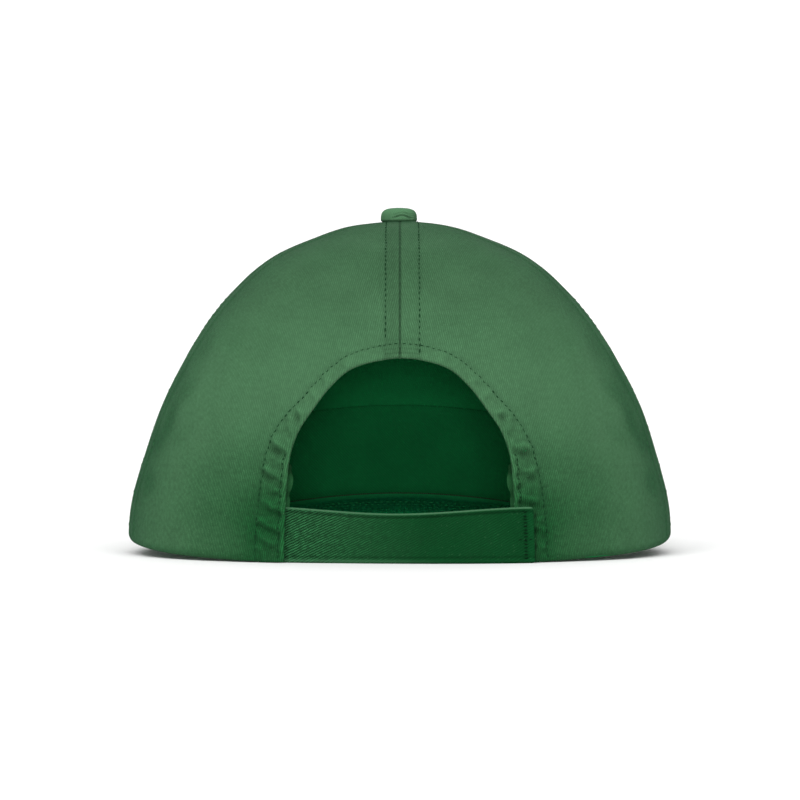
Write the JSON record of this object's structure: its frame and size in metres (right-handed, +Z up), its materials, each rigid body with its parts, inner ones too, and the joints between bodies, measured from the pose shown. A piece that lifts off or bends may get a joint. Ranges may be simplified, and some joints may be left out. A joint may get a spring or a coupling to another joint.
{
  "type": "five panel cap",
  "caption": "Soft cotton cap with a curved peak, a covered button on top and an adjustable strap across an arched opening at the back.",
  "frame": {"origin": "on the ground under the middle of the whole cap's box", "axes": "+Y from the back opening to the peak, +X to the wearer's right, +Z up from the ground that the cap rests on"},
  "size_m": [0.2038, 0.2506, 0.1296],
  "materials": {
    "crown_twill": "brushed cotton twill",
    "peak_twill": "brushed cotton twill over a board",
    "button_twill": "brushed cotton twill over a metal button",
    "sweatband_twill": "plain cotton twill",
    "strap_twill": "cotton twill, folded and stitched"
  },
  "bodies": {
    "root": {"front_panel": "crown_twill", "side_panel_right": "crown_twill", "side_panel_left": "crown_twill", "back_panel_right": "crown_twill", "back_panel_left": "crown_twill", "peak": "peak_twill", "sweatband": "sweatband_twill", "strap": "strap_twill", "strap_tab": "strap_twill", "button": "button_twill"}
  },
  "joints": []
}
